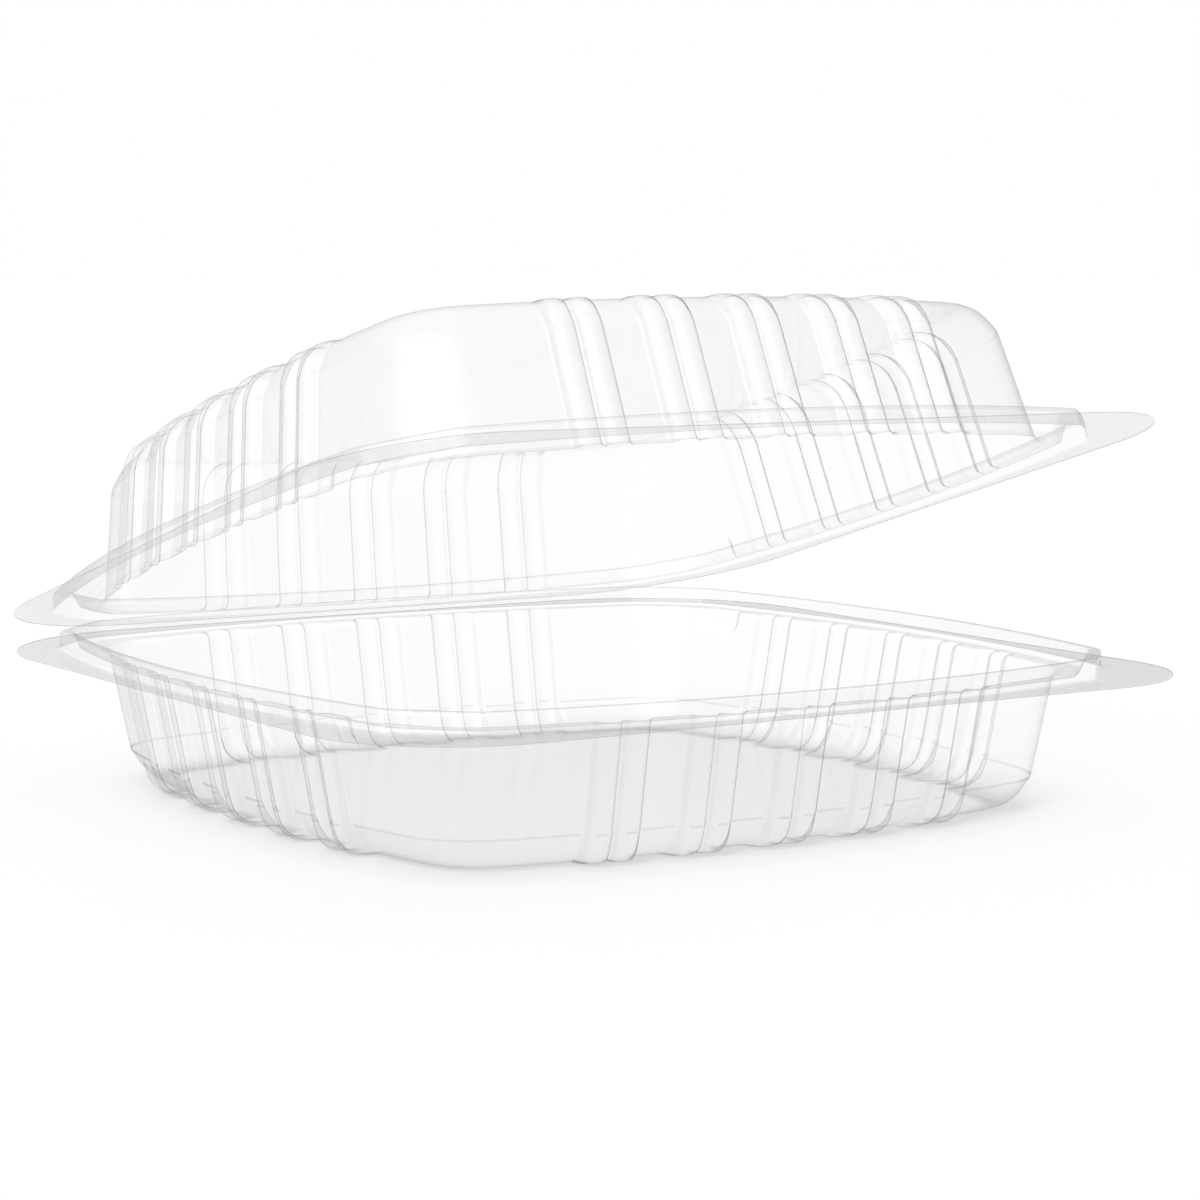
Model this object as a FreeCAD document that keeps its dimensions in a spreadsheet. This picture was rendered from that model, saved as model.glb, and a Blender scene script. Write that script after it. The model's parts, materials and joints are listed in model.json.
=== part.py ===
"""Hinged clear plastic food container: a square fluted tray and a fluted lid.

The container is thermoformed from one thin sheet.  Tray and lid share one
plan: a square flange with rounded corners, a raised bead inside it, a flat
ledge, and a well (or dome) with bowed, drafted walls.  Each wall carries
pairs of bevelled flutes that end as little feet on the base edge.  The
lid's bead nests over the tray's bead, and both turn on the crease at the
back.

Frame: millimetres, +Z up, origin at the centre of the tray's base plane,
X along the hinge, the hinge at +Y and the front at -Y.
"""
import FreeCAD, Part
import math
import os

import Sketcher

SIZES = [
    ("sheet_thickness", "0.5", "gauge of the thermoformed sheet"),
    ("flange_width", "228.6", "overall width and depth over the flange"),
    ("flange_corner", "35", "corner radius of the flange"),
    ("tray_depth", "33", "base of the tray to the underside of its flange"),
    ("lid_depth", "36", "underside of the lid's flange to its roof"),
    ("bow_radius", "368", "radius of each side's outward bow"),
    ("bead_reach", "109.45", "centre to the tray bead's outer face, mid-side"),
    ("corner_reach", "130.2", "centre to the tray bead's corner face"),
    ("bead_width", "5", "width of the tray's bead at its foot"),
    ("bead_draft", "1.3", "how much narrower the bead is at its crest"),
    ("bead_height", "5", "underside of the flange to the crest of the bead"),
    ("ledge_width", "6", "flat ledge between the tray's bead and the wall"),
    ("wall_lean", "5.05", "inward lean of a wall from ledge to crease"),
    ("crease_rise", "7.5", "height of the slanted foot of a wall"),
    ("crease_run", "4.9", "inward run of the slanted foot of a wall"),
    ("flute_width", "7.5", "width of one flute at its root"),
    ("flute_bevel", "2.2", "width and depth of the bevels beside a flute's nose"),
    ("flute_depth", "2.7", "how far a flute stands out of the wall"),
    ("flute_spacing", "7", "distance between the two flutes of a pair"),
    ("pair_spacing", "24", "distance between neighbouring flute pairs"),
    ("pair_count", "5", "flute pairs on each side"),
    ("lug_place", "67", "centre of a denesting lug along the side"),
    ("lug_length", "12", "length of a denesting lug"),
    ("lug_height", "5.5", "height of a denesting lug below the ledge"),
    ("lug_depth", "2.4", "how far a denesting lug stands out of the wall"),
    ("nest_gap", "0.3", "clearance between lid and tray when closed"),
    ("hinge_radius", "0.75", "radius of the folded crease"),
    ("open_angle", "15.7", "opening of the lid, in degrees"),
]

ROOM = 3.0                  # how far a cutting body runs past the face that it opens
SIDES = 4                   # the plan is square
Y_AXIS = FreeCAD.Vector(0, 1, 0)
Z_AXIS = FreeCAD.Vector(0, 0, 1)

# Expressions that several features share.  Insets are measured inward from
# the outer face of the tray's bead, and levels from the flange's underside.
SKIN = "<sheet_thickness>"
BOW_CENTRE = "(<bow_radius> - <bead_reach>)"
ROW_ANGLE = "(<pair_spacing> * (<pair_count> - 1) / <bow_radius> * 180 / pi)"
WALL_INSET = "(<bead_width> + <ledge_width>)"
CREASE_INSET = f"({WALL_INSET} + <wall_lean>)"
BASE_INSET = f"({CREASE_INSET} + <crease_run>)"
HINGE_REACH = "(<flange_width> / 2 + <hinge_radius> + <nest_gap>)"
HINGE_RISE = f"({SKIN} + <nest_gap> / 2)"


def make_sheet(doc):
    """Write the driving dimensions into a spreadsheet and name each cell."""
    sheet = doc.addObject("Spreadsheet::Sheet", "Sizes")
    for row, (alias, value, note) in enumerate(SIZES, start=1):
        sheet.set(f"A{row}", alias)
        sheet.set(f"B{row}", value)
        sheet.set(f"C{row}", note)
        sheet.setAlias(f"B{row}", alias)
    doc.recompute()
    return sheet


def named(expression):
    """Turn the sheet's names inside an expression into full references."""
    for alias, _, _ in sorted(SIZES, key=lambda item: -len(item[0])):
        expression = expression.replace(f"<{alias}>", f"Sizes.{alias}")
    return expression


def origin_feature(body, role):
    """Return the body's own origin plane or axis with this role."""
    for feature in body.Origin.OriginFeatures:
        if feature.Role == role:
            return feature
    raise RuntimeError(f"{body.Label} has no {role}")


def attach(sketch, body, plane):
    """Lay a sketch on one of its own body's origin planes."""
    sketch.AttachmentSupport = [(origin_feature(body, plane), "")]
    sketch.MapMode = "FlatFace"


def drive(sketch, constraint, expression):
    """Add a dimension to a sketch and bind it to the sheet."""
    index = sketch.addConstraint(constraint)
    sketch.setExpression(f"Constraints[{index}]", named(expression))


def flange_outline(body, sheet, name):
    """Sketch the flange's outline, a square with round corners."""
    sketch = body.newObject("Sketcher::SketchObject", name)
    attach(sketch, body, "XY_Plane")
    half = float(sheet.flange_width) / 2
    radius = float(sheet.flange_corner)
    run = half - radius
    lines = []
    arcs = []
    for side in range(SIDES):
        turn = FreeCAD.Rotation(Z_AXIS, 90 * side)
        start = turn.multVec(FreeCAD.Vector(-run, -half, 0))
        end = turn.multVec(FreeCAD.Vector(run, -half, 0))
        centre = turn.multVec(FreeCAD.Vector(run, -run, 0))
        first = math.radians(90 * side - 90)
        lines.append(sketch.addGeometry(Part.LineSegment(start, end)))
        arcs.append(sketch.addGeometry(
            Part.ArcOfCircle(Part.Circle(centre, Z_AXIS, radius), first, first + math.pi / 2)))
    for side in range(SIDES):
        following = lines[(side + 1) % SIDES]
        level_or_plumb = "Horizontal" if side % 2 == 0 else "Vertical"
        sketch.addConstraint(Sketcher.Constraint("Tangent", lines[side], 2, arcs[side], 1))
        sketch.addConstraint(Sketcher.Constraint("Tangent", arcs[side], 2, following, 1))
        sketch.addConstraint(Sketcher.Constraint(level_or_plumb, lines[side]))
    for arc in arcs[1:]:
        sketch.addConstraint(Sketcher.Constraint("Equal", arcs[0], arc))
    drive(sketch, Sketcher.Constraint("Radius", arcs[0], radius), "<flange_corner>")
    sketch.addConstraint(Sketcher.Constraint("Symmetric", lines[0], 1, lines[2], 1, -1, 1))
    drive(sketch, Sketcher.Constraint("DistanceX", lines[3], 1, lines[1], 1, 2 * half),
          "<flange_width>")
    drive(sketch, Sketcher.Constraint("DistanceY", lines[0], 1, lines[2], 1, 2 * half),
          "<flange_width>")
    return sketch


def bowed_block(doc, name, low, low_inset, high, high_inset):
    """Make a drafted block with four bowed sides and four corner faces.

    Each side is a cone about its own bow axis, and one cone about the centre
    makes the corner faces.  The block is what all five have in common.
    """
    cones = []
    for side in range(SIDES + 1):
        on_side = side < SIDES
        cone = doc.addObject("Part::Cone", f"{name}Side{side}" if on_side else f"{name}Corners")
        reach = "<bow_radius>" if on_side else "<corner_reach>"
        cone.setExpression("Radius1", named(f"{reach} - ({low_inset})"))
        cone.setExpression("Radius2", named(f"{reach} - ({high_inset})"))
        cone.setExpression("Height", named(f"({high}) - ({low})"))
        cone.setExpression(".Placement.Base.z", named(low))
        if on_side:
            coordinate = "y" if side % 2 == 0 else "x"
            sign = "" if side in (0, 3) else "-"
            cone.setExpression(f".Placement.Base.{coordinate}", named(sign + BOW_CENTRE))
        cones.append(cone)
    block = doc.addObject("Part::MultiCommon", name)
    block.Shapes = cones
    return block


def bead_ring(doc, name, low, high, outer, low_inner, high_inner):
    """Make a ring with a plumb outer face and a drafted inner face."""
    ring = doc.addObject("Part::Cut", name)
    ring.Base = bowed_block(doc, f"{name}Outer", low, outer, high, outer)
    ring.Tool = bowed_block(doc, f"{name}Inner", low, low_inner, high, high_inner)
    return ring


def flange_plate(doc, sheet, name):
    """Pad the flat sheet from which the bead, ledge and well rise and fall."""
    body = doc.addObject("PartDesign::Body", name)
    outline = flange_outline(body, sheet, f"{name}Outline")
    plate = body.newObject("PartDesign::Pad", f"{name}Pad")
    plate.Profile = outline
    plate.setExpression("Length", named(SKIN))
    return body


def flute_profile(body, sheet, name, depth, skin):
    """Sketch the cross-section of a pair of flutes, below the foot of the wall.

    The sketch leans with the wall and its origin lies on the wall's face.  In
    it, x runs along the wall and y inward.  The two flutes meet in a valley.
    """
    lean = f"(<wall_lean> / ({depth} - <crease_rise>))"
    reach = f"(<bow_radius> - {WALL_INSET} - {lean} * ({depth} + {ROOM}))"
    sketch = body.newObject("Sketcher::SketchObject", name)
    attach(sketch, body, "XY_Plane")
    sketch.setExpression("AttachmentOffset", named(
        f"placement(vector(0; {BOW_CENTRE}; 0); rotation(vector(0; 0; 1); {ROW_ANGLE} / 2))"
        f" * placement(vector(0; -{reach}; -({depth} + {ROOM}));"
        f" rotation(vector(1; 0; 0); atan({lean})))"))
    outline = [(-7, 8), (-7, -0.5), (-5, -2.7), (-2, -2.7), (0, -0.7),
               (2, -2.7), (5, -2.7), (7, -0.5), (7, 8)]
    points = [FreeCAD.Vector(x, y, 0) for x, y in outline]
    edges = [sketch.addGeometry(Part.LineSegment(start, end))
             for start, end in zip(points, points[1:] + points[:1])]
    side, bevel, nose, _, slope, far_nose, far_bevel, far_side, root = edges
    for edge, following in zip(edges, edges[1:] + edges[:1]):
        sketch.addConstraint(Sketcher.Constraint("Coincident", edge, 2, following, 1))
    for near, far in ((side, root), (bevel, far_side), (nose, far_bevel)):
        sketch.addConstraint(Sketcher.Constraint("Symmetric", near, 1, far, 1, -2))
    sketch.addConstraint(Sketcher.Constraint("Symmetric", nose, 2, far_nose, 1, -2))
    sketch.addConstraint(Sketcher.Constraint("PointOnObject", slope, 1, -2))
    sketch.addConstraint(Sketcher.Constraint("Vertical", side))
    sketch.addConstraint(Sketcher.Constraint("Horizontal", nose))
    for edge, angle in ((slope, -45), (bevel, -45)):
        sketch.addConstraint(Sketcher.Constraint("Angle", edge, math.radians(angle)))
    half_nose = f"(<flute_width> / 2 - <flute_bevel> - (sqrt(2) - 1) * {skin})"
    drive(sketch, Sketcher.Constraint("DistanceX", side, 1, root, 1, 14),
          f"<flute_spacing> + <flute_width> - 2 * {skin}")
    drive(sketch, Sketcher.Constraint("DistanceX", -1, 1, far_nose, 1, 2),
          f"<flute_spacing> / 2 - {half_nose}")
    drive(sketch, Sketcher.Constraint("DistanceX", -1, 1, far_nose, 2, 5),
          f"<flute_spacing> / 2 + {half_nose}")
    drive(sketch, Sketcher.Constraint("DistanceY", far_nose, 1, -1, 1, 2.7),
          f"<flute_depth> - {skin}")
    drive(sketch, Sketcher.Constraint("DistanceY", -1, 1, root, 1, 8),
          f"<crease_run> + {ROOM}")
    return sketch


def bow_axis(body, name):
    """Place a sketch whose normal is the axis of the front side's bow."""
    sketch = body.newObject("Sketcher::SketchObject", name)
    attach(sketch, body, "XY_Plane")
    sketch.setExpression("AttachmentOffset", named(
        f"placement(vector(0; {BOW_CENTRE}; 0); rotation(vector(0; 0; 1); 0))"))
    sketch.addGeometry(Part.Point(FreeCAD.Vector()))
    sketch.addConstraint(Sketcher.Constraint("Coincident", 0, 1, -1, 1))
    return sketch


def pattern_step(body, name, axis, angle, count):
    """Make one step of a compound pattern: equal turns about an axis."""
    step = body.newObject("PartDesign::PolarPattern", name)
    step.Axis = axis
    step.Reversed = True
    step.setExpression("Angle", named(angle))
    step.setExpression("Occurrences", named(count))
    return step


def fluted_form(doc, sheet, name, depth, skin):
    """Make the solid inside one face of the fluted wall.

    With no skin it is the outer form.  With the sheet's thickness as skin it
    is the form that the food fills, and it runs up past the ledge.
    """
    top = "0" if skin == "0" else f"({skin} + {ROOM})"
    crease = f"(-({depth}) + <crease_rise>)"
    top_inset = f"{WALL_INSET} + {skin} - <wall_lean> * {top} / ({depth} - <crease_rise>)"
    wall = bowed_block(doc, f"{name}Wall", crease, f"{CREASE_INSET} + {skin}", top, top_inset)
    foot = bowed_block(doc, f"{name}Foot", f"-({depth}) + {skin}", f"{BASE_INSET} + {skin}",
                       crease, f"{CREASE_INSET} + {skin}")
    plain = doc.addObject("Part::MultiFuse", f"{name}Plain")
    plain.Shapes = [wall, foot]
    body = doc.addObject("PartDesign::Body", f"{name}Fluted")
    body.BaseFeature = plain
    pair = body.newObject("PartDesign::Pad", f"{name}FlutePair")
    pair.Profile = flute_profile(body, sheet, f"{name}FluteProfile", depth, skin)
    pair.setExpression("Length", named(f"{depth} + 3 * {ROOM}"))
    pair.Refine = False
    steps = [
        pattern_step(body, f"{name}Row", (bow_axis(body, f"{name}BowAxis"), ["N_Axis"]),
                     ROW_ANGLE, "<pair_count>"),
        pattern_step(body, f"{name}Sides", (origin_feature(body, "Z_Axis"), [""]), "360",
                     str(SIDES)),
    ]
    pattern = body.newObject("PartDesign::MultiTransform", f"{name}Flutes")
    pattern.Originals = [pair]
    pattern.Transformations = steps
    pattern.Refine = False
    body.Tip = pattern
    slab = doc.addObject("Part::Box", f"{name}Slab")
    for side in ("Length", "Width"):
        slab.setExpression(side, named("<flange_width>"))
    slab.setExpression("Height", named(f"{depth} - {skin} + {top}"))
    slab.setExpression(".Placement.Base.x", named("-<flange_width> / 2"))
    slab.setExpression(".Placement.Base.y", named("-<flange_width> / 2"))
    slab.setExpression(".Placement.Base.z", named(f"-({depth}) + {skin}"))
    form = doc.addObject("Part::Common", f"{name}Form")
    form.Base = body
    form.Tool = slab
    return form


def box(doc, name, low, size):
    """Make a box from expressions for its low corner and its size."""
    block = doc.addObject("Part::Box", name)
    for axis, value in zip("xyz", low):
        block.setExpression(f".Placement.Base.{axis}", named(value))
    for side, value in zip(("Length", "Width", "Height"), size):
        block.setExpression(side, named(value))
    return block


def lugs(doc, name, turn, skin):
    """Make the two denesting lugs, half a turn apart, under the ledge."""
    wall = f"(<bead_reach> - {WALL_INSET} - <lug_place> ^ 2 / 2 / <bow_radius>)"
    depth = f"(<lug_depth> + <bead_width>)"
    length = f"(<lug_length> - 2 * {skin})"
    top = "0" if skin == "0" else f"({skin} + {ROOM})"
    height = f"(<lug_height> - {skin} + {top})"
    far = f"({wall} + <lug_depth> - {skin})"
    blocks = []
    for number, side in enumerate((-1, 1)):
        low_x = f"-{far}" if side < 0 else f"{far} - {depth}"
        low_y = f"{side * turn} * <lug_place> - {length} / 2"
        blocks.append(box(doc, f"{name}Lug{number}",
                          (low_x, low_y, f"{skin} - <lug_height>"), (depth, length, height)))
    return blocks


def half(doc, sheet, name, depth, turn, bead, cavity, extras):
    """Make one half of the container: sheet outside minus sheet inside."""
    outside = doc.addObject("Part::MultiFuse", f"{name}Outside")
    outside.Shapes = [flange_plate(doc, sheet, f"{name}Flange"),
                      fluted_form(doc, sheet, f"{name}Outer", depth, "0"), bead,
                      *lugs(doc, f"{name}Outer", turn, "0"), *extras]
    inside = doc.addObject("Part::MultiFuse", f"{name}Inside")
    inside.Shapes = [fluted_form(doc, sheet, f"{name}Inner", depth, SKIN), cavity,
                     *lugs(doc, f"{name}Inner", turn, SKIN)]
    shell = doc.addObject("Part::Cut", name)
    shell.Base = outside
    shell.Tool = inside
    shell.Label = name.lower()
    return shell


def hinge_crease(doc):
    """Make the folded crease at the back and the strip that leads to it."""
    length = "(<flange_width> - 2 * <flange_corner>)"
    crease = doc.addObject("Part::Cylinder", "HingeCrease")
    crease.Placement = FreeCAD.Placement(FreeCAD.Vector(), FreeCAD.Rotation(Y_AXIS, 90))
    crease.setExpression("Radius", named("<hinge_radius>"))
    crease.setExpression("Height", named(length))
    crease.setExpression(".Placement.Base.x", named(f"-{length} / 2"))
    crease.setExpression(".Placement.Base.y", named(HINGE_REACH))
    crease.setExpression(".Placement.Base.z", named(HINGE_RISE))
    strip = box(doc, "HingeStrip",
                (f"-{length} / 2", "<flange_width> / 2 - <hinge_radius>", "0"),
                (length, f"{HINGE_REACH} - <flange_width> / 2 + <hinge_radius>", SKIN))
    return [crease, strip]


def make_tray(doc, sheet):
    """Make the tray, which stands on its base with its bead upward."""
    bead = bead_ring(doc, "TrayBead", "0", "<bead_height>",
                     "0", "<bead_width>", "<bead_width> - <bead_draft>")
    cavity = bead_ring(doc, "TrayBeadCavity", "0", f"(<bead_height> - {SKIN})",
                       SKIN, f"<bead_width> - {SKIN}", f"<bead_width> - <bead_draft> - {SKIN}")
    tray = half(doc, sheet, "Tray", "<tray_depth>", 1, bead, cavity, hinge_crease(doc))
    tray.setExpression(".Placement.Base.z", named("<tray_depth>"))
    return tray


def make_lid(doc, sheet):
    """Make the lid as it is formed, well downward, then fold it over.

    Its bead runs down on the well's side.  Folded, it fits over the tray's.
    """
    gap = "<nest_gap>"
    outer = f"-({SKIN} + {gap})"
    inner = f"(<bead_width> + {gap} + {SKIN})"
    crest = f"({SKIN} - <bead_height>)"
    bead = bead_ring(doc, "LidBead", crest, SKIN, outer, f"{inner} - <bead_draft>", inner)
    cavity = bead_ring(doc, "LidBeadCavity", f"({crest} + {SKIN})", SKIN,
                       f"-{gap}", f"{inner} - <bead_draft> - {SKIN}", f"{inner} - {SKIN}")
    lid = half(doc, sheet, "Lid", "<lid_depth>", -1, bead, cavity, [])
    closed_rise = f"({SKIN} + <nest_gap> + {SKIN} - {HINGE_RISE})"
    opened = "(<open_angle> * 1 deg)"
    back = f"{HINGE_REACH} - {HINGE_REACH} * cos({opened}) + {closed_rise} * sin({opened})"
    rise = (f"<tray_depth> + {HINGE_RISE} + {HINGE_REACH} * sin({opened})"
            f" + {closed_rise} * cos({opened})")
    lid.setExpression("Placement", named(
        f"placement(vector(0; {back}; {rise}); rotation(vector(1; 0; 0); 180 - <open_angle>))"))
    return lid


def check(doc, parts):
    """Stop if any feature failed or any part is empty or invalid."""
    for item in doc.Objects:
        if "Invalid" in item.State or "Error" in item.State:
            raise RuntimeError(f"{item.Name} failed: {item.State}")
    for part in parts:
        if part.Shape.isNull() or not part.Shape.isValid():
            raise RuntimeError(f"{part.Label} has no valid shape")


def main():
    """Build the container and write one STEP file for each piece."""
    doc = FreeCAD.newDocument("Clamshell")
    sheet = make_sheet(doc)
    parts = [make_tray(doc, sheet), make_lid(doc, sheet)]
    doc.recompute()
    check(doc, parts)
    os.makedirs("parts", exist_ok=True)
    for part in parts:
        shape = part.Shape
        shape.exportStep(os.path.join("parts", f"{part.Label}.step"))
        print(part.Label, len(shape.Solids), "solid", len(shape.Faces), "faces",
              round(shape.Volume), "mm3")


main()
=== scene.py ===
"""Looks of a clear hinged food container: its formed film, folded crease and a plain studio."""
import json
import math

import bpy
import numpy as np
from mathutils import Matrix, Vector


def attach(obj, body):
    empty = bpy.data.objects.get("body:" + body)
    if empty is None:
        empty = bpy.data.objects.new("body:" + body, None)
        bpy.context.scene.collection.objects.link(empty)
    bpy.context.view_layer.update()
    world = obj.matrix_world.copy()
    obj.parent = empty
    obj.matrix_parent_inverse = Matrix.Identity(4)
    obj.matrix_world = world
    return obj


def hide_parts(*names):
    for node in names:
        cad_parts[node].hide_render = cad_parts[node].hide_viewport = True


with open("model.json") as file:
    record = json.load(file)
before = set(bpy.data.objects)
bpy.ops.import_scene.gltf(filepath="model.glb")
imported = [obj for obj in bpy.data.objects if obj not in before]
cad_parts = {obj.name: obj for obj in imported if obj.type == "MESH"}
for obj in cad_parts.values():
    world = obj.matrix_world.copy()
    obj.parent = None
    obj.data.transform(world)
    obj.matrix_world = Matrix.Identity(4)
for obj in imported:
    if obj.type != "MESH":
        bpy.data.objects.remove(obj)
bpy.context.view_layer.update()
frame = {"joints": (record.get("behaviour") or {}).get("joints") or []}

bl_info = {
    "name": "Clear clamshell pack",
    "version": (1, 0, 0),
    "blender": (4, 5, 0),
    "location": "3D View > Sidebar > Pack",
    "description": "Makes the formed film of a hinged clear container, its crease and its studio",
    "category": "Add Mesh",
}

HINGE = frame["joints"][0]
MM = 0.001
SIDES = 4

# Widths over which two faces of the film go over into each other, and radii of its fillets.
CREASE_BLEND = 0.5 * MM
FLUTE_BLEND = 0.7 * MM
CORNER_BLEND = 3.2 * MM
BEAD_BLEND = 0.5 * MM
LUG_BLEND = 1.1 * MM
FOOT_RADIUS = 4.0 * MM
LEDGE_RADIUS = 1.4 * MM
BEAD_RADIUS = 0.8 * MM
BEAD_FOOT = 0.9 * MM
FLUTE_MARGIN = 1.6 * MM
FLUTE_END_HEIGHT = 9.0 * MM
FLUTE_FLANK = math.radians(70)

# How finely the film is divided: columns over a flute pair, between two pairs and over half a
# corner, rows of the wall and of a fillet, and shares of the way across base, ledge and flange.
PAIR_COLUMNS, GAP_COLUMNS = 49, 3
CORNER_COLUMNS, CORNER_CROWDING = 33, 1.15
WALL_ROWS, FILLET_ROWS = 13, 6
BASE_SHARES = (0.0, 0.3, 0.6, 0.85, 0.96)
LEDGE_SHARES = (0.33, 0.67)
FLANGE_SHARES = (0.3, 0.6, 0.85, 0.97, 1.0)

# A column belongs to the left or right side where |x| is more than this share of |y|.
SIDE_SHARE = 0.95

# How much each part of the film darkens when it is seen edge on.
BASE_BEND = 0.16
RIM_BEND = 0.34
WALL_BEND = 0.3
FLANK_BEND = 0.85
# A bend of 1 paints a dark line of shade along the crease; the lid's painted line is fainter.
LINE_BEND = 1.0
FAINT_LINE_BEND = 0.5
STEEP_FROM, STEEP_OVER = 0.45, 0.3
LINE_HALF_WIDTH = 0.3 * MM
LINE_ROWS = np.array([-0.8, -0.5, -0.2, 0.2, 0.5, 0.8]) * MM

# The film's waves from forming, about 22 mm long, and how it mirrors and darkens.
WAVES_PER_METRE, WAVE_HEIGHT, WAVE_STRENGTH = 45.0, 0.8 * MM, 0.6
LIMB_POWER = 4.5
FACE_MIRROR, LIMB_MIRROR = 0.07, 0.3
# Power and darkness of the painted line of shade along the crease, taken from the bend.
LINE_POWER, LINE_DARKNESS = 6.0, 0.12

# Light that the film lets through to the floor: little through the foot of an upright wall, which
# gives the soft line of shadow under the pack, and nearly all through the rest.
PASSED_LIGHT = 0.98
FOOT_SHADE, HIGH_SHADE, SHADE_HEIGHT = 0.95, 0.06, 24 * MM
LYING_SHARE, LYING_BEND, UPRIGHT_BEND = 0.03, 0.17, 0.29

# The fold's section, from the tray's flange round to the lid's.
FOLD_FROM, FOLD_TO = math.radians(-115), math.radians(165)
FOLD_COLUMNS, FOLD_ROWS = 41, 25

# What the film mirrors of the room: bright on the left, dim on the right, brighter overhead, and
# one soft window at the upper left.
MIRRORED_LEFT, MIRRORED_RIGHT, MIRRORED_TOP = 1.0, 0.3, 0.4
WINDOW_AIM, WINDOW_EDGE, WINDOW_LEVEL = (-0.62, -0.38, 0.69), 0.72, 1.2

# The cut edge: what it lets through, and how much of it is matt.
EDGE_PASSES, EDGE_MATT, EDGE_ROUGHNESS = (0.75, 0.76, 0.76, 1), 0.45, 0.45

# Lamps: name, place, angle across in degrees and strength.
LAMPS = (("left_softbox", (-0.9, -0.5, 0.9), 32, 0.75), ("top_softbox", (0.3, 0.5, 1.3), 50, 0.6))
FLOOR_HALF = 20.0

# The photograph's camera as fitted to it: azimuth, elevation and roll in degrees.
CAMERA_ANGLES = (-32.67, 6.12, 0.09)
CAMERA_PLACE = (-0.41293, -0.65795, 0.13087)
CAMERA_LENS, CAMERA_SENSOR = 94.88, 36.0


def length(name, text, millimetres):
    """A length property, given in millimetres and kept in metres."""
    return bpy.props.FloatProperty(name=name, description=text, default=millimetres * MM,
                                   min=0.0, subtype="DISTANCE", unit="LENGTH", precision=5)


def colour(name, text, code):
    """A colour property, given as an sRGB hex code and kept linear."""
    return bpy.props.FloatVectorProperty(name=name, description=text, default=linear(code),
                                         size=3, min=0.0, max=1.0, subtype="COLOR")


def linear(code):
    """Turn an sRGB hex code into linear red, green and blue."""
    parts = [int(code[i:i + 2], 16) / 255 for i in (1, 3, 5)]
    return tuple(c / 12.92 if c <= 0.04045 else ((c + 0.055) / 1.055) ** 2.4 for c in parts)


class PackForm(bpy.types.PropertyGroup):
    """Sizes of the formed film, the same as in the part's source."""
    flange_width: length("Flange width", "Overall width and depth over the flange", 228.6)
    flange_corner: length("Flange corner", "Corner radius of the flange at the front", 35.0)
    back_corner: length("Back corner", "Corner radius of the flange beside the crease", 48.0)
    tray_depth: length("Tray depth", "Base of the tray to the underside of its flange", 33.0)
    lid_depth: length("Lid depth", "Underside of the lid's flange to its roof", 36.0)
    bow_radius: length("Bow radius", "Radius of each side's outward bow", 368.0)
    bead_reach: length("Bead reach", "Centre to the bead's outer face at mid-side", 109.45)
    corner_reach: length("Corner reach", "Centre to the bead's corner face", 130.2)
    bead_width: length("Bead width", "Width of the tray's bead at its foot", 5.0)
    bead_draft: length("Bead draft", "How much narrower the bead is at its crest", 1.3)
    bead_height: length("Bead height", "Flange to the crest of the bead", 5.0)
    ledge_width: length("Ledge width", "Flat ledge between bead and wall", 6.0)
    wall_lean: length("Wall lean", "Inward lean of a wall from ledge to crease", 5.05)
    crease_rise: length("Crease rise", "Height of the slanted foot of a wall", 7.5)
    crease_run: length("Crease run", "Inward run of the slanted foot of a wall", 4.9)
    flute_depth: length("Flute depth", "How far a flute stands out of the wall", 2.7)
    flute_nose: length("Flute nose", "Radius of a flute's rounded nose", 3.7)
    tray_flute_end: length("Tray flute end", "How far the tray's flutes draw in at the base", 1.5)
    lid_flute_end: length("Lid flute end", "How far the lid's flutes draw in at the roof", 3.5)
    flute_spacing: length("Flute spacing", "Distance between the two flutes of a pair", 7.0)
    pair_spacing: length("Pair spacing", "Distance between neighbouring flute pairs", 24.0)
    lug_place: length("Lug place", "Centre of a denesting lug along its side", 67.0)
    lug_length: length("Lug length", "Length of a denesting lug", 12.0)
    lug_height: length("Lug height", "Height of a denesting lug below the ledge", 5.5)
    lug_depth: length("Lug depth", "How far a denesting lug stands out of the wall", 2.4)
    sheet: length("Sheet", "Gauge of the plastic sheet", 0.5)
    nest_gap: length("Nest gap", "Clearance between lid and tray when closed", 0.3)
    hinge_radius: length("Crease radius", "Radius of the folded crease", 0.75)
    pair_count: bpy.props.IntProperty(name="Flute pairs", description="Flute pairs on each side",
                                      default=5, min=1)
    open_angle: bpy.props.FloatProperty(name="Opening", subtype="ANGLE", unit="ROTATION",
                                        description="How far the lid stands open at rest",
                                        default=math.radians(15.7))


class PackFinish(bpy.types.PropertyGroup):
    """Colours and polish of the clear plastic."""
    face_tint: colour("Face tint", "What the film lets through where it is seen square on", "#FEFEFE")
    limb_tint: colour("Limb tint", "What the film lets through where it is seen edge on", "#15181A")
    edge_tint: colour("Cut edge", "Colour of the die-cut edge", "#C9CCCA")
    roughness: bpy.props.FloatProperty(name="Roughness", description="Roughness of the film's gloss",
                                       default=0.12, min=0.0, max=1.0)


class StudioLook(bpy.types.PropertyGroup):
    """The floor and the light around the pack."""
    floor_colour: colour("Floor", "Colour of the sweep under the pack", "#F4F4F4")
    floor_glow: bpy.props.FloatProperty(name="Floor glow", default=0.11, min=0.0,
                                        description="Light added to the floor where it is seen")
    world_level: bpy.props.FloatProperty(name="Room light", default=0.66, min=0.0,
                                         description="Strength of the light from all round")


def smooth_min(first, second, width):
    """The lesser of two arrays, rounded where they differ by less than width.

    min(a, b) less width/4 times the square of how far they are inside width.
    """
    share = np.maximum(width - np.abs(first - second), 0) / width
    return np.minimum(first, second) - share ** 2 * width / 4


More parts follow.
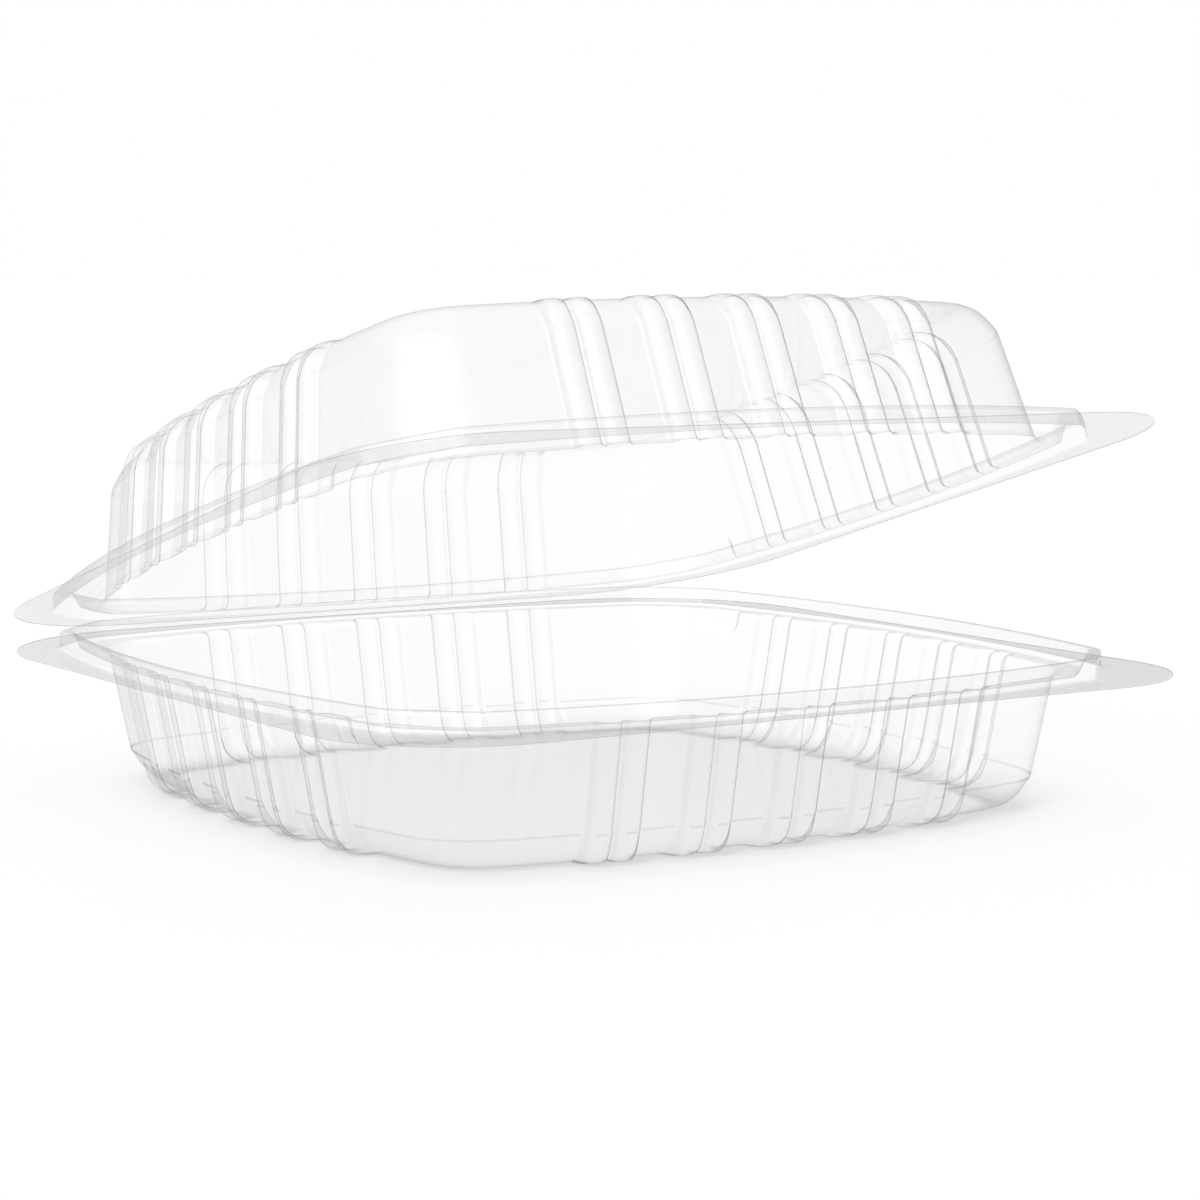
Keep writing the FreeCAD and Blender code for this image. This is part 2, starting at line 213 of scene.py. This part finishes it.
def rounded_levels(bottom, top, radius, flat_rows, round_rows):
    """Levels from bottom to top, close together in the two fillets and even between."""
    turn = np.linspace(0, math.pi / 2, round_rows + 1)
    low = bottom + radius * (1 - np.cos(turn))
    high = top - radius * (1 - np.cos(turn[::-1]))
    middle = np.linspace(low[-1], high[0], flat_rows + 2)[1:-1]
    return np.concatenate([low, middle, high])


def column_places(form):
    """Arc positions of the columns over the flutes of one side, from the middle to the last flute."""
    span = form.flute_spacing / 2 + form.flute_nose + FLUTE_MARGIN
    pairs = (np.arange(form.pair_count) - (form.pair_count - 1) / 2) * form.pair_spacing
    over_pair = np.linspace(-span, span, PAIR_COLUMNS)
    places = [pair + over_pair for pair in pairs]
    gaps = [np.linspace(a[-1], b[0], GAP_COLUMNS + 2)[1:-1] for a, b in zip(places, places[1:])]
    return np.sort(np.concatenate(places + gaps))


def flute_dip(form, places):
    """How far each column's flute surface lies behind the flutes' nose line.

    A circle's sagitta over the nose, going over into a steep straight flank;
    the least of all flutes counts.
    """
    pairs = (np.arange(form.pair_count) - (form.pair_count - 1) / 2) * form.pair_spacing
    centres = np.concatenate([pairs - form.flute_spacing / 2, pairs + form.flute_spacing / 2])
    off = np.abs(places[:, None] - centres[None, :])
    edge = form.flute_nose * math.sin(FLUTE_FLANK)
    inside = np.minimum(off, edge)
    sagitta = form.flute_nose - np.sqrt(form.flute_nose ** 2 - inside ** 2)
    return (sagitta + (off - inside) * math.tan(FLUTE_FLANK)).min(1)


def plan_radius(form, directions, inset, rounding):
    """Distance from the centre to the bowed outline at an inset, along unit directions.

    The least of four circles about the bow centres and one about the middle,
    with the meeting edges rounded.
    """
    offset = form.bow_radius - form.bead_reach
    result = np.broadcast_to(form.corner_reach - inset, directions.shape[:-1])
    for side in range(SIDES):
        centre = offset * np.array([-math.sin(side * math.pi / 2), math.cos(side * math.pi / 2)])
        along = directions @ centre
        reach = along + np.sqrt(along ** 2 - offset ** 2 + (form.bow_radius - inset) ** 2)
        result = smooth_min(result, reach, rounding)
    return result


def round_square(half, corner, directions):
    """Distance from the centre to a square with round corners, along unit directions.

    Over the straight sides it is half/max(|x|, |y|); over a corner it solves
    the quadratic for the corner's circle.
    """
    size = np.abs(directions)
    straight = half / size.max(-1)
    core = half - corner
    along = core * size.sum(-1)
    arc = along + np.sqrt(np.maximum(along ** 2 - 2 * core ** 2 + corner ** 2, 0))
    other = straight * size.min(-1)
    return np.where(other > core, arc, straight)


def wall_inset(form, depth, level):
    """Inset of the plain wall at each level below the ledge (level 0).

    The leaning wall and the slanted foot are two straight lines, rounded
    where they cross.
    """
    top = form.bead_width + form.ledge_width
    lean = form.wall_lean / (depth - form.crease_rise)
    wall = top - lean * level
    below_crease = (-level - depth + form.crease_rise) / form.crease_rise
    foot = top + form.wall_lean + form.crease_run * below_crease
    return -smooth_min(-wall, -foot, CREASE_BLEND), wall


def well_outline(form, depth, levels, flute_end, lug_sign):
    """Plan points of the fluted well at each level, as rows x columns x 2, and the flutes' steepness.

    Over the flutes a column keeps its arc position on the bow, and its flute
    draws in towards the base by a parabola.  Beyond them it is a ray from the
    centre, evenly turned up to the corner's diagonal.
    """
    places = column_places(form)
    plain, leaning = wall_inset(form, depth, levels)
    end = np.clip(1 - (levels + depth) / FLUTE_END_HEIGHT, 0, 1) ** 2 * flute_end
    fluted = (leaning - form.flute_depth + end)[:, None] + flute_dip(form, places)[None, :]
    inset = smooth_min(plain[:, None], fluted, FLUTE_BLEND)
    turn = places / form.bow_radius
    reach = form.bow_radius - inset
    over_flutes = np.stack([reach * np.sin(turn),
                            form.bow_radius - form.bead_reach - reach * np.cos(turn)], -1)
    last = over_flutes[:, -1]
    start = np.arctan2(last[:, 0], -last[:, 1])
    share = np.linspace(0, 1, CORNER_COLUMNS + 1)[1:] ** CORNER_CROWDING
    angle = start[:, None] + (math.pi / 4 - start[:, None]) * share
    directions = np.stack([np.sin(angle), -np.cos(angle)], -1)
    corner = directions * plan_radius(form, directions, plain[:, None], CORNER_BLEND)[..., None]
    mirrored = corner[:, -2::-1] * np.array([-1, 1])
    near = np.concatenate([mirrored, over_flutes, corner], 1)
    steep = np.abs(np.gradient(inset, places, axis=1))
    steep /= np.sqrt(1 + steep ** 2)
    plain_part = np.zeros_like(angle)
    slope = np.tile(np.concatenate([plain_part[:, 1:], steep, plain_part], 1), (1, SIDES))
    quarter_turn = np.array([[0, 1], [-1, 0]])
    around = [near]
    for _ in range(SIDES - 1):
        around.append(around[-1] @ quarter_turn)
    return add_lugs(form, np.concatenate(around, 1), levels, lug_sign), slope


def add_lugs(form, outline, levels, sign):
    """Swell the wall into its two denesting lugs.

    Each lug is the lug's depth times a soft-edged window along the side and
    another one down from the ledge.
    """
    def window(distance, half):
        return 1 / (1 + np.exp((np.abs(distance) - half) / LUG_BLEND * 3))
    height = window(levels, form.lug_height)[:, None]
    result = outline.copy()
    x, y = outline[..., 0], outline[..., 1]
    for side in (-1, 1):
        on_side = (x * side > 0) & (np.abs(x) > np.abs(y) * SIDE_SHARE)
        along = window(y - side * sign * form.lug_place, form.lug_length / 2)
        result[..., 0] += np.where(on_side, side * form.lug_depth * along * height, 0)
    return result


def wall_levels(form, depth):
    """Levels of the well's rows: close together in both fillets and beside the crease of the wall."""
    levels = rounded_levels(-depth, 0.0, FOOT_RADIUS, WALL_ROWS, FILLET_ROWS)
    return np.sort(np.concatenate([levels, form.crease_rise - depth + LINE_ROWS]))


def fillet_shift(distance, radius):
    """How far a quarter circle draws a wall back, at each distance from the flat it meets."""
    inside = np.clip(distance, 0, radius)
    return radius - np.sqrt(radius ** 2 - (radius - inside) ** 2)


def wall_bends(form, depth, levels, slope, line_bend):
    """Bend of the well's rows: more on the flutes' flanks, most along the crease of the wall."""
    steep = np.clip((slope - STEEP_FROM) / STEEP_OVER, 0, 1)
    bends = WALL_BEND + (FLANK_BEND - WALL_BEND) * steep
    # Painted shade: the rows beside the crease of the wall take the bend of the painted dark line.
    near_crease = np.abs(levels + depth - form.crease_rise) < LINE_HALF_WIDTH
    return np.maximum(bends, line_bend * near_crease[:, None] * (slope < STEEP_FROM))


def film_rows(form, depth, bead_up, lug_sign):
    """All rows of one half's film as an array rows x columns x 3, well downward, and its bends.

    From the middle of the base: base, wall with flutes, ledge, bead, flange
    and the cut edge.  The rows lie on the middle of the sheet.  The bend is
    from 0, flat, to 1, where the sheet is bent so tightly that it shows as a
    dark line of painted shade.
    """
    half_sheet = form.sheet / 2
    levels = wall_levels(form, depth)
    flute_end, line_bend, gap = ((form.tray_flute_end, LINE_BEND, 0.0) if bead_up else
                                 (form.lid_flute_end, FAINT_LINE_BEND, form.nest_gap + form.sheet))
    outline, slope = well_outline(form, depth, levels, flute_end, lug_sign)
    unit = outline / np.linalg.norm(outline, axis=-1, keepdims=True)
    shift = fillet_shift(-levels, LEDGE_RADIUS) - fillet_shift(levels + depth, FOOT_RADIUS)
    well = outline + unit * (shift - half_sheet)[:, None, None]
    rows = []
    bends = []

    def add(plan, level, bend=BASE_BEND):
        rows.append(np.concatenate([plan, np.full(plan.shape[:-1] + (1,), level + half_sheet)], -1))
        bends.append(np.broadcast_to(bend, plan.shape[:-1]))

    def add_between(start, end, shares, bend=BASE_BEND):
        for share in shares:
            add(start + (end - start) * share, 0.0, bend)

    for share in BASE_SHARES:
        add(well[0] * share, -depth)
    for plan, level, bend in zip(well, levels, wall_bends(form, depth, levels, slope, line_bend)):
        add(plan, level, bend)
    rim = well[-1]
    directions = rim / np.linalg.norm(rim, axis=-1, keepdims=True)
    inner, outer = form.bead_width + gap, -gap
    crest = form.bead_height - form.sheet
    foot = directions * plan_radius(form, directions, inner + BEAD_FOOT, BEAD_BLEND)[..., None]
    add_between(rim, foot, LEDGE_SHARES)
    for inset, level in bead_profile(form, inner, outer, crest if bead_up else -crest):
        add(directions * plan_radius(form, directions, inset, BEAD_BLEND)[..., None], level, RIM_BEND)
    at_back = directions[:, 1] * (1 if bead_up else -1) > 0
    corner = np.where(at_back, form.back_corner, form.flange_corner)
    edge = directions * round_square(form.flange_width / 2, corner, directions)[..., None]
    add_between(rows[-1][:, :2], edge, FLANGE_SHARES, RIM_BEND)
    add(edge, -half_sheet * 0.9, RIM_BEND)
    return np.stack(rows), np.stack(bends)


def bead_profile(form, inner, outer, crest):
    """Inset and level down the bead's section: a rounded foot, crest and outer foot.

    Quarter circles join the drafted inner face, the flat crest and the plumb
    outer face.
    """
    soft = BEAD_RADIUS
    sign = 1 if crest > 0 else -1
    height = abs(crest)
    turn = np.linspace(0, math.pi / 2, 4)
    half_sheet = form.sheet / 2
    inner, outer = inner - half_sheet, outer + half_sheet
    top = inner - form.bead_draft
    rise_in = [(inner + soft * (1 - math.sin(t)), soft * (1 - math.cos(t))) for t in turn]
    over_in = [(top - soft * (1 - math.cos(t)), height - soft * (1 - math.sin(t))) for t in turn]
    over_out = [(outer + soft * (1 - math.sin(t)), height - soft * (1 - math.cos(t))) for t in turn]
    fall_out = [(outer - soft * (1 - math.cos(t)), soft * (1 - math.sin(t))) for t in turn]
    profile = rise_in + over_in + over_out + fall_out
    return [(inset, sign * level) for inset, level in profile]


def film_mesh(name, points, bends, materials, edge_rows):
    """Make a mesh from rows of points round a closed loop, the first one closed to a pole."""
    rows, columns = points.shape[:2]
    first = np.arange(rows - 1)[:, None] * columns
    here = np.arange(columns)[None, :]
    following = (here + 1) % columns
    quads = np.stack(np.broadcast_arrays(first + here, first + columns + here,
                                         first + columns + following, first + following), -1)
    vertices = points.reshape(-1, 3)
    faces = quads.reshape(-1, 4)[:, ::-1]
    vertices = np.concatenate([vertices[columns:], points[0].mean(0, keepdims=True)])
    faces = faces[columns:] - columns
    tip = np.full(columns, len(vertices) - 1)
    ring = np.arange(columns)
    fan = np.stack([tip, (ring + 1) % columns, ring], -1)
    piece = mesh_object(name, vertices, faces, fan, materials, edge_rows * columns)
    bend = piece.data.attributes.new("bend", "FLOAT", "POINT")
    bend.data.foreach_set("value", np.append(bends[1:].ravel(), bends[0, 0]).astype(np.float32))
    return piece


def mesh_object(name, vertices, faces, fan, materials, edge_faces):
    """Link a mesh object at the origin, smooth, its last faces in the second material."""
    mesh = bpy.data.meshes.new(name)
    mesh.from_pydata(vertices.tolist(), [], fan.tolist() + faces.tolist())
    total = len(faces) + len(fan)
    mesh.polygons.foreach_set("use_smooth", np.ones(total, bool))
    for material in materials:
        mesh.materials.append(material)
    slots = np.zeros(total, np.int32)
    if edge_faces:
        slots[-edge_faces:] = 1
    mesh.polygons.foreach_set("material_index", slots)
    mesh.validate()
    piece = bpy.data.objects.new(name, mesh)
    bpy.context.scene.collection.objects.link(piece)
    return piece


def node(tree, kind, settings=None, **inputs):
    """Add a node with its settings, and set or link its inputs by name, or by number as in _0."""
    made = tree.nodes.new(kind)
    for key, value in (settings or {}).items():
        setattr(made, key, value)
    for key, value in inputs.items():
        socket = made.inputs[int(key[1:])] if key[0] == "_" else made.inputs[key.replace("_", " ")]
        if isinstance(value, bpy.types.NodeSocket):
            tree.links.new(value, socket)
        else:
            socket.default_value = value
    return made


def new_material(name):
    """A material with an empty node tree, and its output node."""
    material = bpy.data.materials.new(name)
    material.use_nodes = True
    material.node_tree.nodes.clear()
    return material, material.node_tree, material.node_tree.nodes.new("ShaderNodeOutputMaterial")


def clear_film(finish):
    """Vacuum-formed clear polyester sheet: glossy, see-through, with lines where it is bent.

    It is a see-through film that mirrors 7% square on and about a third edge on.
    It darkens at its limbs, where the eye looks along the sheet, by as much
    as its bend says, and has painted shade along the crease at the top of the tray's foot.
    Slight waves from forming break up the glare.
    """
    material, tree, output = new_material("formed_clear_polyester")
    path = node(tree, "ShaderNodeLightPath")
    place = node(tree, "ShaderNodeTexCoord").outputs["Object"]
    waves = node(tree, "ShaderNodeTexNoise", Vector=place, Scale=WAVES_PER_METRE, Detail=2.0,
                 Roughness=0.4)
    bump = node(tree, "ShaderNodeBump", Strength=WAVE_STRENGTH, Distance=WAVE_HEIGHT,
                Height=waves.outputs[0])
    facing = node(tree, "ShaderNodeLayerWeight", Blend=0.5).outputs["Facing"]
    bend = node(tree, "ShaderNodeAttribute", {"attribute_name": "bend"}).outputs["Fac"]
    limb = node(tree, "ShaderNodeMath", {"operation": "POWER"}, _0=facing, _1=LIMB_POWER)
    # Painted shade: a dark line painted along the crease, where the bend nears 1, fainter on the lid.
    crease_shade = node(tree, "ShaderNodeMath", {"operation": "POWER"}, _0=bend, _1=LINE_POWER)
    crease_shade = node(tree, "ShaderNodeMath", {"operation": "MULTIPLY"}, _0=crease_shade.outputs[0],
                 _1=LINE_DARKNESS)
    dark = node(tree, "ShaderNodeMath", {"operation": "MULTIPLY_ADD"}, _0=limb.outputs[0], _1=bend,
                _2=crease_shade.outputs[0])
    tint = node(tree, "ShaderNodeMix", {"data_type": "RGBA"}, _0=dark.outputs[0],
                _6=(*finish.face_tint, 1), _7=(*finish.limb_tint, 1))
    height = node(tree, "ShaderNodeSeparateXYZ", Vector=place)
    shade = node(tree, "ShaderNodeMapRange", Value=height.outputs[2], From_Min=0.0,
                 From_Max=SHADE_HEIGHT, To_Min=FOOT_SHADE, To_Max=HIGH_SHADE)
    upright = node(tree, "ShaderNodeMapRange", Value=bend, From_Min=LYING_BEND,
                   From_Max=UPRIGHT_BEND, To_Min=LYING_SHARE, To_Max=1.0)
    shade = node(tree, "ShaderNodeMath", {"operation": "MULTIPLY"}, _0=shade.outputs[0],
                 _1=upright.outputs[0])
    passed = node(tree, "ShaderNodeMath", {"operation": "SUBTRACT"}, _0=PASSED_LIGHT,
                  _1=shade.outputs[0])
    passed = node(tree, "ShaderNodeMix", {"data_type": "RGBA"}, _0=path.outputs["Is Shadow Ray"],
                  _6=tint.outputs[2], _7=passed.outputs[0])
    mirror = node(tree, "ShaderNodeMath", {"operation": "MULTIPLY_ADD"}, _0=limb.outputs[0],
                  _1=LIMB_MIRROR, _2=FACE_MIRROR)
    unlit = node(tree, "ShaderNodeMath", {"operation": "SUBTRACT"}, _0=1.0,
                 _1=path.outputs["Is Shadow Ray"])
    mirror = node(tree, "ShaderNodeMath", {"operation": "MULTIPLY"}, _0=mirror.outputs[0],
                  _1=unlit.outputs[0])
    through = node(tree, "ShaderNodeBsdfTransparent", Color=passed.outputs[2])
    gloss = node(tree, "ShaderNodeBsdfAnisotropic", Color=(1, 1, 1, 1), Roughness=finish.roughness,
                 Normal=bump.outputs[0])
    surface = node(tree, "ShaderNodeMixShader", Fac=mirror.outputs[0], _1=through.outputs[0],
                   _2=gloss.outputs[0])
    tree.links.new(surface.outputs[0], output.inputs["Surface"])
    return material


def cut_edge(finish):
    """Die-cut edge of the sheet: the blade leaves it matt, so it shows as a thin grey line."""
    material, tree, output = new_material("die_cut_edge")
    through = node(tree, "ShaderNodeBsdfTransparent", Color=EDGE_PASSES)
    matt = node(tree, "ShaderNodeBsdfPrincipled", Base_Color=(*finish.edge_tint, 1),
                Roughness=EDGE_ROUGHNESS)
    surface = node(tree, "ShaderNodeMixShader", Fac=EDGE_MATT, _1=through.outputs[0],
                   _2=matt.outputs[0])
    tree.links.new(surface.outputs[0], output.inputs["Surface"])
    return material


def pack_materials():
    """The two finishes of the film, made once."""
    finish = bpy.context.scene.pack_finish
    film = bpy.data.materials.get("formed_clear_polyester") or clear_film(finish)
    edge = bpy.data.materials.get("die_cut_edge") or cut_edge(finish)
    return [film, edge]


def place_lid(form, points):
    """Turn the lid's rows over, about the crease, to where the open lid stands.

    A turn of half a circle less the opening about X, then a shift that keeps
    the crease on the hinge's axis.
    """
    opened = form.open_angle
    reach, rise = HINGE["pos_m"][1], HINGE["pos_m"][2]
    closed_rise = form.sheet + form.nest_gap / 2
    back = reach - reach * math.cos(opened) + closed_rise * math.sin(opened)
    up = rise + reach * math.sin(opened) + closed_rise * math.cos(opened)
    turn = math.pi - opened
    rotation = np.array([[1, 0, 0],
                         [0, math.cos(turn), -math.sin(turn)],
                         [0, math.sin(turn), math.cos(turn)]])
    return points @ rotation.T + np.array([0, back, up])


class PACK_OT_tray(bpy.types.Operator):
    """Make the tray's film"""
    bl_idname = "pack.tray"
    bl_label = "Tray film"

    def execute(self, context):
        form = context.scene.pack_form
        points, bends = film_rows(form, form.tray_depth, True, 1)
        points = points + np.array([0, 0, form.tray_depth])
        piece = film_mesh("tray_film", points, bends, pack_materials(), edge_rows=1)
        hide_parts("tray")
        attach(piece, "tray")
        return {"FINISHED"}


class PACK_OT_lid(bpy.types.Operator):
    """Make the lid's film"""
    bl_idname = "pack.lid"
    bl_label = "Lid film"

    def execute(self, context):
        form = context.scene.pack_form
        points, bends = film_rows(form, form.lid_depth, False, -1)
        piece = film_mesh("lid_film", place_lid(form, points), bends, pack_materials(), edge_rows=1)
        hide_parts("lid")
        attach(piece, "lid")
        return {"FINISHED"}


class PACK_OT_crease(bpy.types.Operator):
    """Make the folded crease between tray and lid"""
    bl_idname = "pack.crease"
    bl_label = "Folded crease"

    def execute(self, context):
        form = context.scene.pack_form
        half = form.flange_width / 2 - form.back_corner
        radius = form.hinge_radius - form.sheet / 2
        across = np.linspace(-half, half, FOLD_COLUMNS)
        turn = np.linspace(FOLD_FROM, FOLD_TO, FOLD_ROWS)
        y = HINGE["pos_m"][1] + radius * np.cos(turn)
        z = HINGE["pos_m"][2] + radius * np.sin(turn)
        y = np.concatenate([[form.flange_width / 2 - 0.1 * MM], y])
        z = np.concatenate([[form.tray_depth + form.sheet / 2], z])
        grid = np.stack(np.broadcast_arrays(across[None, :], y[:, None], z[:, None]), -1)
        rows, columns = grid.shape[:2]
        first = (np.arange(rows - 1)[:, None] * columns + np.arange(columns - 1)[None, :]).reshape(-1)
        faces = np.stack([first, first + 1, first + columns + 1, first + columns], -1)
        piece = mesh_object("hinge_crease", grid.reshape(-1, 3), faces, np.zeros((0, 3), int),
                            pack_materials()[:1], 0)
        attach(piece, "tray")
        return {"FINISHED"}


def floor_material(look):
    """Seamless white card: matt, and as white as the page to the eye where nothing shades it."""
    material, tree, output = new_material("white_card_sweep")
    path = node(tree, "ShaderNodeLightPath")
    seen = node(tree, "ShaderNodeMath", {"operation": "MAXIMUM"}, _0=path.outputs["Is Camera Ray"],
                _1=path.outputs["Is Glossy Ray"])
    seen = node(tree, "ShaderNodeMath", {"operation": "MAXIMUM"}, _0=seen.outputs[0],
                _1=path.outputs["Is Transmission Ray"])
    glow = node(tree, "ShaderNodeMath", {"operation": "MULTIPLY"}, _0=seen.outputs[0],
                _1=look.floor_glow)
    matt = node(tree, "ShaderNodeBsdfDiffuse", Color=(*look.floor_colour, 1))
    shine = node(tree, "ShaderNodeEmission", Color=(1, 1, 1, 1), Strength=glow.outputs[0])
    both = node(tree, "ShaderNodeAddShader", _0=matt.outputs[0], _1=shine.outputs[0])
    tree.links.new(both.outputs[0], output.inputs["Surface"])
    return material


def room_light(look):
    """White room to the eye; its light on the floor is softer, and the film mirrors its own room."""
    world = bpy.data.worlds.new("studio_room")
    world.use_nodes = True
    tree = world.node_tree
    tree.nodes.clear()
    path = node(tree, "ShaderNodeLightPath")
    direction = node(tree, "ShaderNodeTexCoord").outputs["Generated"]
    parts = node(tree, "ShaderNodeSeparateXYZ", Vector=direction)
    window = node(tree, "ShaderNodeVectorMath", {"operation": "DOT_PRODUCT"}, _0=direction,
                  _1=WINDOW_AIM)
    sides = node(tree, "ShaderNodeMapRange", {"interpolation_type": "SMOOTHSTEP"},
                 Value=parts.outputs[0], From_Min=0.0, From_Max=0.95, To_Min=MIRRORED_LEFT,
                 To_Max=MIRRORED_RIGHT)
    above = node(tree, "ShaderNodeMapRange", {"interpolation_type": "SMOOTHSTEP"},
                 Value=parts.outputs[2], From_Min=0.3, From_Max=0.9, To_Min=0.0,
                 To_Max=MIRRORED_TOP)
    window = node(tree, "ShaderNodeMapRange", {"interpolation_type": "SMOOTHSTEP"},
                  Value=window.outputs["Value"], From_Min=WINDOW_EDGE, From_Max=1.0, To_Min=0.0,
                  To_Max=WINDOW_LEVEL)
    shade = node(tree, "ShaderNodeMath", {"operation": "ADD"}, _0=sides.outputs[0],
                 _1=above.outputs[0])
    shade = node(tree, "ShaderNodeMath", {"operation": "ADD"}, _0=shade.outputs[0],
                 _1=window.outputs[0])
    mirrored = node(tree, "ShaderNodeMix", {"data_type": "FLOAT"}, _0=path.outputs["Is Glossy Ray"],
                    _2=look.world_level, _3=shade.outputs[0])
    level = node(tree, "ShaderNodeMix", {"data_type": "FLOAT"}, _0=path.outputs["Is Camera Ray"],
                 _2=mirrored.outputs[0], _3=1.0)
    background = node(tree, "ShaderNodeBackground", Color=(1, 1, 1, 1), Strength=level.outputs[0])
    output = tree.nodes.new("ShaderNodeOutputWorld")
    tree.links.new(background.outputs[0], output.inputs["Surface"])
    bpy.context.scene.world = world


def soft_lamp(name, place, spread, strength):
    """A far, wide lamp that shines from a place towards the pack, even over the whole floor.

    The film doesn't mirror it, because it mirrors the room's soft window.
    """
    lamp = bpy.data.lights.new(name, "SUN")
    lamp.energy, lamp.angle = strength, math.radians(spread)
    stand = bpy.data.objects.new(name, lamp)
    bpy.context.scene.collection.objects.link(stand)
    stand.visible_glossy = False
    stand.location = place
    stand.rotation_mode = "QUATERNION"
    stand.rotation_quaternion = (-Vector(place)).to_track_quat("-Z", "Y")


def photo_camera():
    """The camera of the photograph: its place, aim, roll and lens as fitted to it."""
    azimuth, elevation, roll = (math.radians(angle) for angle in CAMERA_ANGLES)
    back = Vector((math.sin(azimuth) * math.cos(elevation),
                      -math.cos(azimuth) * math.cos(elevation), math.sin(elevation)))
    right = (-back).cross(Vector((0, 0, 1))).normalized()
    up = right.cross(-back)
    side = math.cos(roll) * right + math.sin(roll) * up
    top = side.cross(-back)
    data = bpy.data.cameras.new("photo_camera")
    data.sensor_width, data.lens = CAMERA_SENSOR, CAMERA_LENS
    data.clip_start, data.clip_end = 0.01, 100.0
    camera = bpy.data.objects.new("photo_camera", data)
    bpy.context.scene.collection.objects.link(camera)
    turn = Matrix((side, top, back)).transposed().to_4x4()
    camera.matrix_world = Matrix.Translation(CAMERA_PLACE) @ turn
    bpy.context.scene.camera = camera


class PACK_OT_studio(bpy.types.Operator):
    """Make the floor, the light and the camera"""
    bl_idname = "pack.studio"
    bl_label = "Studio"

    def execute(self, context):
        scene = context.scene
        look = scene.pack_look
        mesh = bpy.data.meshes.new("floor")
        half = FLOOR_HALF
        corners = [(-half, -half, 0), (half, -half, 0), (half, half, 0), (-half, half, 0)]
        mesh.from_pydata(corners, [], [(0, 1, 2, 3)])
        mesh.materials.append(floor_material(look))
        floor = bpy.data.objects.new("floor", mesh)
        scene.collection.objects.link(floor)
        room_light(look)
        for lamp in LAMPS:
            soft_lamp(*lamp)
        photo_camera()
        scene.view_settings.view_transform = "Standard"
        scene.cycles.transparent_max_bounces = 32
        return {"FINISHED"}


class PACK_PT_panel(bpy.types.Panel):
    """Lists what makes the pack"""
    bl_idname = "PACK_PT_panel"
    bl_label = "Clear clamshell pack"
    bl_space_type = "VIEW_3D"
    bl_region_type = "UI"
    bl_category = "Pack"

    def draw(self, context):
        for operator in OPERATORS:
            self.layout.operator(operator.bl_idname)
        for group, kind in GROUPS.items():
            settings = getattr(context.scene, group)
            for name in kind.__annotations__:
                self.layout.prop(settings, name)


OPERATORS = (PACK_OT_tray, PACK_OT_lid, PACK_OT_crease, PACK_OT_studio)
GROUPS = {"pack_form": PackForm, "pack_finish": PackFinish, "pack_look": StudioLook}
CLASSES = (*GROUPS.values(), *OPERATORS, PACK_PT_panel)


def register():
    """Register the classes and hang their settings on the scene."""
    for kind in CLASSES:
        bpy.utils.register_class(kind)
    for name, kind in GROUPS.items():
        setattr(bpy.types.Scene, name, bpy.props.PointerProperty(type=kind))


def unregister():
    """Take the settings and the classes away again."""
    for name in GROUPS:
        delattr(bpy.types.Scene, name)
    for kind in reversed(CLASSES):
        bpy.utils.unregister_class(kind)


def main():
    """Make every piece and the studio."""
    register()
    for operator in OPERATORS:
        group, name = operator.bl_idname.split(".")
        getattr(getattr(bpy.ops, group), name)()


if __name__ == "__main__":
    main()
